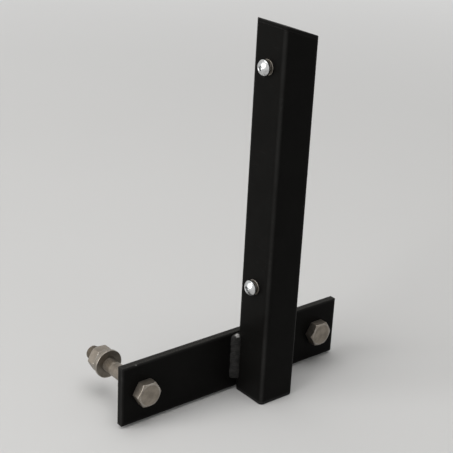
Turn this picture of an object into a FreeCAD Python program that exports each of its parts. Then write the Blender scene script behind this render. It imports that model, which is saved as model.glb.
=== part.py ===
"""Bolt-on clamp that carries one end of a table tennis net, in millimetres.

A square post stands on the outer face of a flat bracket plate. Two through bolts hold the plate,
on round spacers, against the side rail of the table. The end of the net sheet is screwed to the
post's net face, and the plate is centred on the sheet. Frame: +X away from the table, +Y along the
table's side, +Z up. The origin lies midway between the two bolts, in the plane where the spacers
meet the rail.
"""
import FreeCAD, Part
import math
import os

V = FreeCAD.Vector
X, Y, Z = V(1, 0, 0), V(0, 1, 0), V(0, 0, 1)

# Post: a square steel tube with a sloping top, closed at both ends
tube_side = 22.4
tube_wall = 1.5
tube_corner = 2.2          # outside radius of the tube's corners
top_slope_deg = 18.5       # the top falls away from the net
top_plate_thickness = 2.0
net_height = 152.5         # top edge of the net above the table top
bolt_line_depth = 37.5     # table top above the line of the bolts
sheet_thickness = 1.5      # the net sheet, which the screws hold on the post

# Bracket plate: a flat bar, upright along the table's side
plate_length = 147.0
plate_height = 34.0
plate_thickness = 4.0
plate_edge = 0.5           # broken edge of the bar
bolt_end_distance = 14.0   # from each end of the bar to its bolt
bolt_hole_clearance = 0.5  # on the radius
weld_leg_on_plate = 4.6
weld_leg_on_tube = 3.1
weld_crown = 0.45          # how far the bead bulges past a straight fillet
weld_gap_above = 1.0       # bead stops this far from the plate's upper edge
weld_gap_below = 5.4       # and this far from its lower edge
weld_start = 2.0           # length over which a bead swells to its full size
weld_start_steps = 2
weld_blunt_end = 0.45      # size of the bead's ends, as a share of its full size

# Spacers and the rail that they stand on
spacer_length = 9.0
spacer_radius = 8.0
rail_depth = 20.0          # table rail held between the spacers and the washers

# M8 table bolts with their washers and nuts
bolt_radius = 4.0
bolt_length = 50.0
bolt_thread_length = 22.0
bolt_thread_depth = 0.2    # the thread's mean surface lies this far under the shank
bolt_tip = 1.0
hex_across_flats = 13.0
head_height = 5.3
nut_height = 6.5
nut_thread_clearance = 0.05
hex_chamfer_deg = 30.0
hex_face_share = 0.95      # width of the round face, as a share of the width across flats
washer_radius = 8.0
washer_thickness = 1.6
washer_clearance = 0.2     # on the radius
spring_washer_radius = 7.4
spring_washer_thickness = 2.0
spring_washer_clearance = 0.1
spring_washer_gap = 0.9
spring_washer_slant_deg = 25.0

# M4 net screws and the rivet nuts that they turn into
screw_radius = 2.0
screw_length = 12.0
screw_thread_depth = 0.15
screw_head_radius = 4.1
screw_head_height = 3.1
screw_head_edge = 1.0      # height of the head's upright rim
screw_head_bands = 2       # conical bands that make up the head's dome
socket_across_flats = 2.5
socket_depth = 1.6
screw_below_net_top = 24.0
screw_spacing = 118.0
insert_flange_radius = 4.0
insert_flange_thickness = 0.5
insert_radius = 3.0
insert_collar_radius = 4.1
insert_collar_length = 2.4
insert_length = 9.5        # behind the flange
insert_thread_clearance = 0.05
insert_fit = 0.05          # between the insert and the hole in the tube

# Foot plug: a ribbed plastic insert
plug_lip = 1.5
plug_depth = 16.0
plug_wall = 1.8
plug_crown = 0.6
plug_corner_cut = 0.7
plug_body_clearance = 0.9
plug_rib_count = 4
plug_rib_thickness = 1.1
plug_rib_clearance = 0.05

# Places that follow from the sizes
plate_back = spacer_length
plate_front = plate_back + plate_thickness
net_face_y = insert_flange_thickness + sheet_thickness / 2
post_x = plate_front + tube_side / 2
post_y = net_face_y + tube_side / 2
foot_z = -plate_height / 2 - plug_lip
net_top_z = bolt_line_depth + net_height
post_top_z = net_top_z - sheet_thickness
screw_zs = {"upper": net_top_z - screw_below_net_top}
screw_zs["lower"] = screw_zs["upper"] - screw_spacing
bolt_y = plate_length / 2 - bolt_end_distance
side_ys = {"left": -bolt_y, "right": bolt_y}
washer_x = -rail_depth
spring_washer_x = washer_x - washer_thickness
nut_x = spring_washer_x - spring_washer_thickness
thread_radius = bolt_radius - bolt_thread_depth
screw_thread_radius = screw_radius - screw_thread_depth


def square_prism(side, height, z):
    """Upright square prism on the post's axis, its lower end at z, and its four upright edges."""
    prism = Part.makeBox(side, side, height, V(post_x - side / 2, post_y - side / 2, z))
    uprights = [e for e in prism.Edges if e.BoundBox.ZLength > height / 2]
    return prism, uprights


def rounded_square(side, radius, height, z):
    """Upright square prism with rounded corners."""
    prism, uprights = square_prism(side, height, z)
    return prism.makeFillet(radius, uprights)


def bevelled_square(side, height, z):
    """Upright square prism of the plug, its corners cut to clear the tube's inner corners."""
    prism, uprights = square_prism(side, height, z)
    return prism.makeChamfer(plug_corner_cut, uprights)


def below_slope(drop):
    """Everything below the sloping plane that lies a given distance under the post's top."""
    slope = math.radians(top_slope_deg)
    reach = 4 * tube_side
    height = 2 * (net_height + plate_height)
    block = Part.makeBox(2 * reach, 2 * reach, height, V(-reach, -reach, -height))
    block.rotate(V(0, 0, 0), X, -top_slope_deg)
    block.translate(V(post_x, net_face_y, post_top_z - drop / math.cos(slope)))
    return block


def revolved(points, origin, direction):
    """Solid turned from (radius, distance) points about a line through the origin point."""
    wire = Part.makePolygon([V(r, 0, d) for r, d in points + points[:1]])
    solid = Part.Face(wire).revolve(V(0, 0, 0), Z, 360)
    return placed(solid, origin, direction)


def placed(solid, origin, direction):
    """Moves a solid built along +Z so that it stands at a point along a direction."""
    solid.Placement = FreeCAD.Placement(origin, FreeCAD.Rotation(Z, direction))
    return solid


def ring(bore, radius, length, origin, direction):
    """Round ring or bush that starts at the origin point and runs along the direction."""
    return revolved([(bore, 0), (radius, 0), (radius, length), (bore, length)], origin, direction)


def hexagon(across_flats, height):
    """Hexagonal prism along +Z from the origin."""
    corner = across_flats / math.sqrt(3)
    turns = [math.radians(30 + 60 * i) for i in range(7)]
    wire = Part.makePolygon([V(corner * math.cos(t), corner * math.sin(t), 0) for t in turns])
    return Part.Face(wire).extrude(V(0, 0, height))


def chamfered_hexagon(height, both_ends):
    """Hexagon for a head or a nut, its corners turned off at the outer end or at both ends."""
    corner = hex_across_flats / math.sqrt(3)
    flat = hex_face_share * hex_across_flats / 2
    fall = (corner - flat) * math.tan(math.radians(hex_chamfer_deg))
    low = [(0, 0), (flat, 0), (corner, fall)] if both_ends else [(0, 0), (corner, 0)]
    turned = revolved(low + [(corner, height - fall), (flat, height), (0, height)], V(0, 0, 0), Z)
    return hexagon(hex_across_flats, height).common(turned)


def post_tube():
    """Square tube, cut on the slope at the top and bored for the two rivet nuts."""
    length = post_top_z - foot_z
    outer = rounded_square(tube_side, tube_corner, length, foot_z + plug_lip)
    bore_side = tube_side - 2 * tube_wall
    bore = rounded_square(bore_side, tube_corner - tube_wall, length, foot_z + plug_lip)
    tube = outer.cut(bore).common(below_slope(top_plate_thickness))
    for z in screw_zs.values():
        start = V(post_x, net_face_y, z)
        tube = tube.cut(Part.makeCylinder(insert_radius + insert_fit, 2 * tube_wall, start, Y))
    return tube


def post_top_plate():
    """Sloping plate that closes the tube, flush with its sides."""
    length = post_top_z - foot_z
    block = rounded_square(tube_side, tube_corner, length, foot_z + plug_lip)
    return block.common(below_slope(0)).cut(below_slope(top_plate_thickness))


def foot_plug():
    """Hollow plug with a crowned lip under the tube's end and ribs that grip inside it."""
    lip = rounded_square(tube_side, tube_corner, plug_lip, foot_z)
    rim = [e for e in lip.Edges if e.BoundBox.ZMax < foot_z + plug_lip / 2]
    lip = lip.makeChamfer(plug_crown, rim)
    bore_side = tube_side - 2 * tube_wall
    seat = foot_z + plug_lip
    body_side = bore_side - 2 * plug_body_clearance
    plug = lip.fuse(bevelled_square(body_side, plug_depth, seat))
    pitch = plug_depth / plug_rib_count
    for i in range(plug_rib_count):
        middle = seat + (i + 0.5) * pitch
        rib_side = bore_side - 2 * plug_rib_clearance
        rib = bevelled_square(rib_side, plug_rib_thickness, middle - plug_rib_thickness / 2)
        plug = plug.fuse(rib)
    hollow = square_prism(body_side - 2 * plug_wall, plug_depth, seat)[0]
    return plug.cut(hollow).removeSplitter()


def bracket_plate():
    """Flat bar with broken edges and a hole for each bolt."""
    low = V(plate_back, -plate_length / 2, -plate_height / 2)
    bar = Part.makeBox(plate_thickness, plate_length, plate_height, low)
    bar = bar.makeChamfer(plate_edge, bar.Edges)
    for y in side_ys.values():
        radius = bolt_radius + bolt_hole_clearance
        bar = bar.cut(Part.makeCylinder(radius, plate_thickness, V(plate_back, y, 0), X))
    return bar


def bead_section(z, swell):
    """Cross-section of a fillet bead at height z: legs on the plate and the tube, crowned face.

    It is drawn for the corner at the tube's net side and reaches inside the tube, which is then
    cut away from the bead.
    """
    on_plate = V(plate_front, net_face_y - weld_leg_on_plate * swell, z)
    on_tube = V(plate_front + weld_leg_on_tube * swell, net_face_y, z)
    middle = (on_plate + on_tube) * 0.5
    outward = V(weld_leg_on_plate, -weld_leg_on_tube, 0)
    crest = middle + outward.normalize() * weld_crown * swell
    inside = on_tube + V(0, tube_corner, 0)
    corner = V(plate_front, net_face_y + tube_corner, z)
    edges = [Part.Arc(on_plate, crest, on_tube).toShape()]
    for a, b in ((on_tube, inside), (inside, corner), (corner, on_plate)):
        edges.append(Part.makeLine(a, b))
    return Part.Wire(edges)


def weld_bead(far_side):
    """Fillet bead up one corner between the tube and the plate, tapered at both ends."""
    low = weld_gap_below - plate_height / 2
    high = plate_height / 2 - weld_gap_above
    starts, ends = [], []
    for i in range(weld_start_steps + 1):
        share = i / weld_start_steps
        swell = weld_blunt_end + (1 - weld_blunt_end) * math.sin(share * math.pi / 2)
        starts.append(bead_section(low + weld_start * share, swell))
        ends.append(bead_section(high - weld_start * share, swell))
    bead = Part.makeLoft(starts + ends[::-1], True, True)
    bead = bead.cut(rounded_square(tube_side, tube_corner, 2 * plate_height, -plate_height))
    return bead.mirror(V(0, post_y, 0), Y) if far_side else bead


def table_bolt(y):
    """Hexagon-head bolt, plain under the head and threaded towards its tip."""
    head = placed(chamfered_hexagon(head_height, False), V(plate_front, y, 0), X)
    plain = bolt_length - bolt_thread_length
    end = thread_radius - bolt_tip
    profile = [(0, 0), (bolt_radius, 0), (bolt_radius, plain), (thread_radius, plain)]
    profile += [(thread_radius, bolt_length - bolt_tip), (end, bolt_length), (0, bolt_length)]
    return head.fuse(revolved(profile, V(plate_front, y, 0), -X))


def spacer(y):
    """Round bush between the plate and the rail."""
    bore = bolt_radius + bolt_hole_clearance
    return ring(bore, spacer_radius, spacer_length, V(0, y, 0), X)


def flat_washer(y):
    """Plain washer against the inner side of the rail."""
    bore = bolt_radius + washer_clearance
    return ring(bore, washer_radius, washer_thickness, V(washer_x, y, 0), -X)


def spring_washer(y):
    """Split ring of square section, flattened by the nut, with its slanting gap at the top."""
    bore = bolt_radius + spring_washer_clearance
    whole = ring(bore, spring_washer_radius, spring_washer_thickness, V(0, 0, 0), Z)
    reach = 2 * spring_washer_radius
    saw = Part.makeBox(reach, spring_washer_gap, reach, V(0, -spring_washer_gap / 2, -reach / 2))
    saw.rotate(V(0, 0, spring_washer_thickness / 2), X, spring_washer_slant_deg)
    return placed(whole.cut(saw), V(spring_washer_x, y, 0), -X)


def table_nut(y):
    """Hexagon nut with both faces chamfered."""
    bore = Part.makeCylinder(thread_radius + nut_thread_clearance, nut_height)
    return placed(chamfered_hexagon(nut_height, True).cut(bore), V(nut_x, y, 0), -X)


def round_head_profile():
    """Half section of a round head: an upright rim, then a dome down to a flat round the socket.

    The dome's points lie on one circle about the head's axis, at equal turns along it.
    """
    flat = socket_across_flats / math.sqrt(3)
    rise = screw_head_height - screw_head_edge
    ball = (screw_head_radius ** 2 - flat ** 2 + rise ** 2) / (2 * rise)
    ball = math.hypot(flat, ball)
    first = math.asin(screw_head_radius / ball)
    last = math.asin(flat / ball)
    middle = screw_head_height - ball * math.cos(last)
    points = [(0, 0), (screw_head_radius, 0)]
    for i in range(screw_head_bands + 1):
        turn = first + (last - first) * i / screw_head_bands
        points.append((ball * math.sin(turn), middle + ball * math.cos(turn)))
    return points + [(0, screw_head_height)]


def net_screw(z):
    """Round-head socket screw, standing off the rivet nut by the net sheet's thickness."""
    seat = insert_flange_thickness + sheet_thickness
    neck = sheet_thickness
    profile = [(0, 0), (screw_radius, 0), (screw_radius, neck), (screw_thread_radius, neck)]
    profile += [(screw_thread_radius, screw_length), (0, screw_length)]
    socket = placed(hexagon(socket_across_flats, socket_depth), V(0, 0, screw_head_height), -Z)
    head = revolved(round_head_profile(), V(0, 0, 0), Z).cut(socket)
    under_head = V(post_x, net_face_y - seat, z)
    return placed(head, under_head, -Y).fuse(revolved(profile, under_head, Y))


def rivet_nut(z):
    """Thin-flanged threaded insert, upset into a collar behind the tube's wall."""
    bore = screw_thread_radius + insert_thread_clearance
    back = insert_flange_thickness + tube_wall
    upset = back + insert_collar_length
    length = insert_flange_thickness + insert_length
    profile = [(bore, 0), (insert_flange_radius, 0)]
    profile += [(insert_flange_radius, insert_flange_thickness)]
    profile += [(insert_radius, insert_flange_thickness), (insert_radius, back)]
    profile += [(insert_collar_radius, back), (insert_collar_radius, upset)]
    profile += [(insert_radius, upset), (insert_radius, length), (bore, length)]
    return revolved(profile, V(post_x, net_face_y - insert_flange_thickness, z), Y)


def build():
    """Every piece by the name of its file."""
    pieces = {
        "post_tube": post_tube(),
        "post_top_plate": post_top_plate(),
        "foot_plug": foot_plug(),
        "bracket_plate": bracket_plate(),
        "weld_bead_net_side": weld_bead(False),
        "weld_bead_far_side": weld_bead(True),
    }
    for side, y in side_ys.items():
        pieces["table_bolt_" + side] = table_bolt(y)
        pieces["spacer_" + side] = spacer(y)
        pieces["flat_washer_" + side] = flat_washer(y)
        pieces["spring_washer_" + side] = spring_washer(y)
        pieces["table_nut_" + side] = table_nut(y)
    for level, z in screw_zs.items():
        pieces["net_screw_" + level] = net_screw(z)
        pieces["rivet_nut_" + level] = rivet_nut(z)
    return pieces


os.makedirs("parts", exist_ok=True)
for name, shape in build().items():
    shape.exportStep("parts/" + name + ".step")
    print(name, len(shape.Solids), shape.isValid(), round(shape.Volume, 1))
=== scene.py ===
"""Bolt-on clamp that carries one end of a table tennis net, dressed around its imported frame.

Every piece is a surface worked out as whole arrays, most often an outline or a circle of columns
with a path of rows along each. Lengths are metres in the frame of the part: +X away from the
table, +Y along its side, +Z up.
"""
import math
from itertools import product
from types import SimpleNamespace

import bmesh
import bpy
import numpy as np
from bpy.props import FloatProperty, FloatVectorProperty, IntProperty, PointerProperty
from mathutils import Matrix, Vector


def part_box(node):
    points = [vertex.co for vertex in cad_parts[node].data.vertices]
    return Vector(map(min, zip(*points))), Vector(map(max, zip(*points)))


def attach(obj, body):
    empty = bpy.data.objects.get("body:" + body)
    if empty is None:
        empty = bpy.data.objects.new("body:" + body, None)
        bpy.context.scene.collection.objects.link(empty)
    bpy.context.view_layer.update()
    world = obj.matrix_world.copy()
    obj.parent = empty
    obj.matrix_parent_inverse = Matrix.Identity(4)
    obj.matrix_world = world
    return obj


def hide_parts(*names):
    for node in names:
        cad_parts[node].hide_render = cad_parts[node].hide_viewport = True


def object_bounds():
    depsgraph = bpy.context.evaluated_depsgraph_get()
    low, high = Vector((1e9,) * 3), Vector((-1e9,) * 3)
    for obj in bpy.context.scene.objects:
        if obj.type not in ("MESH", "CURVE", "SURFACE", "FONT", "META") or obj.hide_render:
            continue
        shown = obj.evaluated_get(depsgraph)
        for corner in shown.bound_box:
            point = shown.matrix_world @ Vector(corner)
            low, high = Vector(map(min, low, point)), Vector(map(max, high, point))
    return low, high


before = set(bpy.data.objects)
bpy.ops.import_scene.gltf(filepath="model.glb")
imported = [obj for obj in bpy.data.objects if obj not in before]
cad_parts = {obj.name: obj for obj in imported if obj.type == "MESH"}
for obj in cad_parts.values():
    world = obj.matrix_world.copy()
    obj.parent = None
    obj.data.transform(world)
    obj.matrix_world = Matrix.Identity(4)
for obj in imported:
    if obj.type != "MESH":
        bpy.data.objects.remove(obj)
cad_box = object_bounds()

bl_info = {
    "name": "Table tennis net clamp",
    "version": (1, 0, 0),
    "blender": (4, 5, 0),
    "location": "3D View > Sidebar > Net clamp",
    "description": "Builds the finished pieces of a bolt-on table tennis net clamp",
    "category": "Add Mesh",
}

SIDES = ("left", "right")
LEVELS = ("upper", "lower")
MM = 0.001
SAME = 1e-7                     # lengths that differ by less than this are equal
FULL_TURN = 2 * math.pi
SHARP_TURN = math.radians(42)   # faces that meet at more than this keep a sharp edge
CELLS = 8                       # cells along each side of the square window round a hole
THREAD_DEPTH = 0.6134           # depth of a metric thread as a share of its pitch
HEX_EDGE = 0.18 * MM            # rounding of a hexagon's corners
FACE_EDGE = 0.35 * MM           # rounding of the turned edge round its face


# ---------------------------------------------------------------- sizes and colours

def length(name, description, default):
    """A length that a user may change."""
    return FloatProperty(name=name, description=description, default=default, min=0.0,
                         precision=5, subtype="DISTANCE", unit="LENGTH")


def share(name, description, default, high=1.0):
    """A plain number from nought upwards."""
    return FloatProperty(name=name, description=description, default=default, min=0.0, max=high)


def angle(name, description, default):
    """An angle, given in degrees and kept in radians."""
    return FloatProperty(name=name, description=description, default=math.radians(default),
                         subtype="ANGLE", unit="ROTATION")


def power(name, description, default):
    """Power of a lamp."""
    return FloatProperty(name=name, description=description, default=default, min=0.0,
                         unit="POWER")


def colour(name, description, default):
    """A linear colour."""
    return FloatVectorProperty(name=name, description=description, default=default, size=3,
                               min=0.0, max=1.0, subtype="COLOR")


class ClampSteelwork(bpy.types.PropertyGroup):
    """Post, plate and weld sizes."""
    corner: length("Tube corner", "Outside radius of the square tube's corners", 2.2 * MM)
    wall: length("Tube wall", "Thickness of the tube's wall", 1.5 * MM)
    rim: length("Tube rim", "Rounding of the tube's sawn ends", 0.18 * MM)
    bar_edge: length("Bar edge", "Rounding of the flat bar's edges", 0.5 * MM)
    insert_hole: length("Insert hole", "Radius of the hole for a rivet nut", 3.05 * MM)
    bolt_hole: length("Bolt hole", "Radius of the hole for a table bolt", 4.5 * MM)
    plate_leg: length("Leg on the plate", "Reach of the weld over the plate", 4.6 * MM)
    tube_leg: length("Leg on the tube", "Reach of the weld up the tube's side", 3.1 * MM)
    crown: length("Weld crown", "Bulge of the weld past a straight fillet", 0.45 * MM)
    ripple_pitch: length("Ripple pitch", "Distance between two ripples of the weld", 1.15 * MM)
    ripple_height: length("Ripple height", "Height of a ripple", 0.12 * MM)


class ClampFasteners(bpy.types.PropertyGroup):
    """Bolt, nut, washer and screw sizes."""
    bolt_radius: length("Bolt radius", "Radius of the bolt's shank and thread", 4.0 * MM)
    bolt_pitch: length("Bolt pitch", "Distance between two turns of the bolt's thread", 1.25 * MM)
    bolt_thread: length("Bolt thread", "Length of the bolt's thread", 22.0 * MM)
    flats: length("Across flats", "Width of the hexagons across their flats", 13.0 * MM)
    head: length("Head height", "Height of the bolt's head", 5.3 * MM)
    chamfer: angle("Hexagon chamfer", "Slope of the turned-off hexagon corners", 30.0)
    round_face: share("Round face", "Width of a hexagon's round face over its flats", 0.95)
    screw_radius: length("Screw radius", "Radius of the net screws' thread", 2.0 * MM)
    screw_pitch: length("Screw pitch", "Distance between two turns of the screw's thread", 0.7 * MM)
    screw_head: length("Screw head", "Height of the round head", 3.1 * MM)
    screw_rim: length("Screw head rim", "Upright part of the round head", 1.0 * MM)
    socket: length("Socket flats", "Width of the screw's hexagon socket across its flats", 2.5 * MM)
    socket_depth: length("Socket depth", "Depth of the screw's socket", 1.6 * MM)
    split: length("Washer split", "Width of the spring washer's gap", 0.9 * MM)
    slant: angle("Washer slant", "Slant of the spring washer's gap", 25.0)


class ClampPlastics(bpy.types.PropertyGroup):
    """Foot plug and spacer sizes."""
    lip: length("Plug lip", "Thickness of the plug's lip under the tube", 1.5 * MM)
    crown: length("Lip rounding", "Rounding of the lip's lower edge", 0.6 * MM)
    wall: length("Plug wall", "Thickness of the plug's wall", 1.8 * MM)
    body_gap: length("Body gap", "Room between the plug's body and the tube", 0.9 * MM)
    rib: length("Rib", "Thickness of a gripping rib", 1.1 * MM)
    ribs: IntProperty(name="Ribs", description="Number of gripping ribs", default=4, min=1)


class ClampColours(bpy.types.PropertyGroup):
    """Colours and wear of the finishes."""
    coat: colour("Powder coat", "Satin black powder coat", (0.0052, 0.0050, 0.0046))
    # This colour serves for the rubbed coat and also for the painted highlight along the rounded
    # edges.
    coat_scuff_and_sheen: colour("Scuffed coat and sheen", "Powder coat where it is rubbed", (0.024, 0.0235, 0.0225))
    bare: colour("Bare steel", "Steel where the coat is chipped", (0.30, 0.295, 0.285))
    weld: colour("Coated weld", "Powder coat over the weld", (0.018, 0.017, 0.016))
    zinc: colour("Zinc", "Dull zinc plate", (0.285, 0.252, 0.21))
    zinc_dark: colour("Dark zinc", "Zinc plate in its duller patches", (0.205, 0.178, 0.147))
    zinc_bright: colour("Rubbed zinc", "Zinc plate where it is rubbed", (0.50, 0.475, 0.44))
    spring: colour("Spring steel", "Zinc-plated spring steel", (0.25, 0.235, 0.21))
    stainless: colour("Stainless", "Bright stainless steel", (0.66, 0.67, 0.67))
    stainless_dull: colour("Smeared stainless", "Stainless steel under smears", (0.50, 0.505, 0.51))
    plastic: colour("Black plastic", "Moulded black plastic", (0.008, 0.008, 0.008))
    nylon: colour("Black nylon", "Moulded nylon of the spacers", (0.009, 0.009, 0.009))
    coat_dust: colour("Dust on the coat", "Dust on the powder coat", (0.16, 0.15, 0.135))
    plastic_dust: colour("Dust on plastic", "Dust on the black plastics", (0.15, 0.14, 0.13))
    wear: share("Edge wear", "How much of the coat is rubbed off the edges", 0.24)
    peel: length("Orange peel", "Depth of the powder coat's orange peel", 0.012 * MM)


class ClampStage(bpy.types.PropertyGroup):
    """Floor, lamps and camera."""
    floor: colour("Floor", "Colour of the plain floor", (0.62, 0.615, 0.605))
    sky: colour("Surroundings", "Colour behind the floor", (0.74, 0.74, 0.735))
    ambient: share("Ambient", "Strength of the plain light from all round", 0.36, 5.0)
    key: power("Key lamp", "Power of the large soft lamp on the net side", 58.0)
    top: power("Top lamp", "Power of the large soft lamp overhead", 34.0)
    fill: power("Fill lamp", "Power of the soft lamp on the far side", 2.5)
    place: FloatVectorProperty(name="Camera place", description="Where the camera stands",
                               default=(0.4468, -0.3703, 0.3191), size=3, subtype="TRANSLATION",
                               unit="LENGTH")
    heading: angle("Heading", "Turn of the view from +Y towards -X", 50.32)
    dip: angle("Dip", "Slope of the view below the horizon", 22.92)
    roll: angle("Roll", "Turn of the camera about its line of sight", 2.97)
    lens: FloatProperty(name="Lens", description="Focal length on a 36 mm frame", default=94.94,
                        min=1.0, unit="CAMERA")


# ---------------------------------------------------------------- meshes from arrays

def quads(ids):
    """Four-sided faces between the neighbouring rows and columns of an array of vertex numbers."""
    corners = (ids[:-1, :-1], ids[1:, :-1], ids[1:, 1:], ids[:-1, 1:])
    return np.stack(corners, axis=-1)


class Surface:
    """Vertices, faces and vertex values of one piece, gathered grid by grid."""

    def __init__(self):
        self.points, self.faces, self.values = [], [], {}
        self.count = 0

    def add(self, points, **values):
        """Takes an array of points, with an edge value and a distance from the axis for each."""
        shape = points.shape[:-1]
        ids = self.count + np.arange(int(np.prod(shape))).reshape(shape)
        self.count += ids.size
        self.points.append(points.reshape(-1, 3))
        for name in ("edge", "radial"):
            value = np.broadcast_to(np.asarray(values.get(name, 0.0), float), shape)
            self.values.setdefault(name, []).append(value.ravel())
        return ids

    def grid(self, points, around=True, along=False, keep=None, **values):
        """A grid of columns and rows; around closes the columns into a ring, along the rows."""
        ids = self.add(points, **values)
        net = np.concatenate([ids, ids[:1]]) if around else ids
        net = np.concatenate([net, net[:, :1]], axis=1) if along else net
        faces = quads(net)
        rows, columns = faces.shape[:2]
        self.faces.append(faces.reshape(-1, 4) if keep is None else faces[keep[:rows, :columns]])
        return ids

    def band(self, first, second):
        """Faces between two closed rows of vertex numbers of the same length."""
        net = np.stack([first, second], axis=1)
        self.faces.append(quads(np.concatenate([net, net[:1]])).reshape(-1, 4))

    def mesh(self, name):
        """Merges equal points, turns the faces outwards and shades them smooth but for corners."""
        mesh = bpy.data.meshes.new(name)
        points, faces = np.concatenate(self.points), np.concatenate(self.faces)
        mesh.from_pydata(points, [], faces)
        for key, parts in self.values.items():
            layer = mesh.attributes.new(key, "FLOAT", "POINT")
            layer.data.foreach_set("value", np.concatenate(parts).astype(np.float32))
        form = bmesh.new()
        form.from_mesh(mesh)
        bmesh.ops.remove_doubles(form, verts=form.verts, dist=10 * SAME)
        bmesh.ops.dissolve_degenerate(form, edges=form.edges, dist=SAME)
        bmesh.ops.recalc_face_normals(form, faces=form.faces)
        if form.calc_volume(signed=True) < 0:
            bmesh.ops.reverse_faces(form, faces=form.faces)
        form.to_mesh(mesh)
        form.free()
        mesh.shade_smooth()
        mesh.set_sharp_from_angle(angle=SHARP_TURN)
        return mesh


def one_grid(points, **settings):
    """A surface of a single grid."""
    surface = Surface()
    surface.grid(points, **settings)
    return surface


def close_ends(loops, hearts):
    """Loops with one more at each end, drawn in to the heart of the first and of the last."""
    first, last = hearts[:1] + 0 * loops[:1], hearts[-1:] + 0 * loops[-1:]
    return np.concatenate([first, loops, last])


def eased(corners, cuts, closed=False, wear=1.0, steps=3, fade=0.7 * MM):
    """Path through corner points whose turns are rounded.

    Each turn P becomes the curve (1-t)(1-t)A + 2t(1-t)P + ttB, where A and B lie a cut's length
    from P along its two runs. A point close to each end of the curve holds the shading flat, and
    one further off is where the edge value has faded from 1 to 0. A cut of nought keeps P alone.
    """
    most = 0.49                 # share of a run that belongs to the turn at one of its ends
    close, held = 0.12, 0.85    # the close point's share of the far one's distance; its edge value
    cuts = np.asarray(cuts, float)
    wear = np.broadcast_to(np.asarray(wear, float), cuts.shape)
    back = np.roll(corners, 1, axis=1) - corners
    ahead = np.roll(corners, -1, axis=1) - corners
    back_run = np.linalg.norm(back, axis=-1, keepdims=True)
    ahead_run = np.linalg.norm(ahead, axis=-1, keepdims=True)
    back, ahead = back / np.maximum(back_run, 1e-9), ahead / np.maximum(ahead_run, 1e-9)
    reach = cuts[None, :, None]
    spare_back = np.clip(back_run * most - reach, 0, fade).min(axis=0, keepdims=True)
    spare_ahead = np.clip(ahead_run * most - reach, 0, fade).min(axis=0, keepdims=True)
    t = np.linspace(0, 1, steps + 1)[:, None]
    start, end = (corners + back * reach)[:, :, None], (corners + ahead * reach)[:, :, None]
    turn = corners[:, :, None]
    curve = (1 - t) ** 2 * start + 2 * t * (1 - t) * turn + t ** 2 * end
    holds = np.array([1.0, close])[:, None]
    before = start + (back * spare_back)[:, :, None] * holds
    after = end + (ahead * spare_ahead)[:, :, None] * holds[::-1]
    points = np.concatenate([before, curve, after], axis=2)
    edge = np.r_[0.0, held, np.ones(steps + 1), held, 0.0] * wear[:, None]
    kept = np.ones(edge.shape, bool)
    kept[cuts == 0] = False
    kept[cuts == 0, 2] = True
    if not closed:
        kept[0], kept[-1] = False, False
        kept[0, 2], kept[-1, 2] = True, True
    edge = np.where((cuts == 0)[:, None], 0.0, edge)
    flat = points.reshape(points.shape[0], -1, points.shape[-1])
    return flat[:, kept.ravel()], edge[kept]


def turned(path, turns, centre, axis, side):
    """Points of (distance from the axis, distance along it) pairs turned about a line.

    A column at turn a holds centre + axis*d + r*(side*cos a + axis x side*sin a).
    """
    other = np.cross(axis, side)
    spoke = np.cos(turns)[:, None] * side + np.sin(turns)[:, None] * other
    return centre + path[..., 1:2] * axis + path[..., 0:1] * spoke[:, None, :]


def lathe(surface, corners, cuts, turns, centre, axis, side, closed=True, **settings):
    """Turned solid from (radius, distance) corners with rounded turns."""
    path = np.broadcast_to(np.asarray(corners, float), (1, len(corners), 2))
    path, edge = eased(path, cuts, closed, **settings)
    path = np.broadcast_to(path, (len(turns),) + path.shape[1:])
    return surface.grid(turned(path, turns, centre, axis, side), along=closed, edge=edge,
                        radial=path[..., 0])


X, Y, Z = np.eye(3)
# Columns of a hexagon: every 6 degrees from corner to corner, and closer beside the corners.
SECTOR = np.array([0, 1.3, 2.6, *range(6, 60, 6), 57.4, 58.7])
HEX_TURNS = np.radians((SECTOR + 60 * np.arange(6)[:, None]).ravel())
ROUND_TURNS = np.linspace(0, FULL_TURN, 72, endpoint=False)


def columns(*pairs):
    """(radius, distance) corners on each column; a value is one number or one for each column."""
    spread = [np.broadcast_arrays(*pair, HEX_TURNS)[:2] for pair in pairs]
    return np.stack([np.stack(pair, axis=-1) for pair in spread], axis=1)


def hexagon_radius(flats, blunt=0.1 * MM):
    """Distance from the axis to a hexagon's side: half the flats over the cosine of the turn from
    the side's middle, and no more than the corner less a little."""
    from_middle = (HEX_TURNS % math.radians(60)) - math.radians(30)
    return np.minimum(flats / 2 / np.cos(from_middle), flats / math.sqrt(3) - blunt)


def hexagon_corners(flats, height, fasteners, both_ends):
    """(radius, distance) corners of a chamfered hexagon for each column, outwards from the axis.

    The chamfer is a cone: from the round face's rim it falls towards the side, so that on each
    column it meets the side at a drop of (side radius - rim radius) * tan(slope).
    """
    side = hexagon_radius(flats)
    rim = fasteners.round_face * flats / 2
    drop = (side - rim) * math.tan(fasteners.chamfer)
    foot = [(rim, 0), (side, drop)] if both_ends else [(side, 0)]
    return columns(*foot, (side, height - drop), (rim, height), (0, height))


def thread_radius(phase, root, crest):
    """Trapezoid thread: the root flat is a quarter of the pitch and the crest flat an eighth."""
    from_root = 2 * np.abs((phase + 0.5) % 1.0 - 0.5)
    return root + (crest - root) * np.clip((from_root - 0.25) / 0.625, 0, 1)


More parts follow.
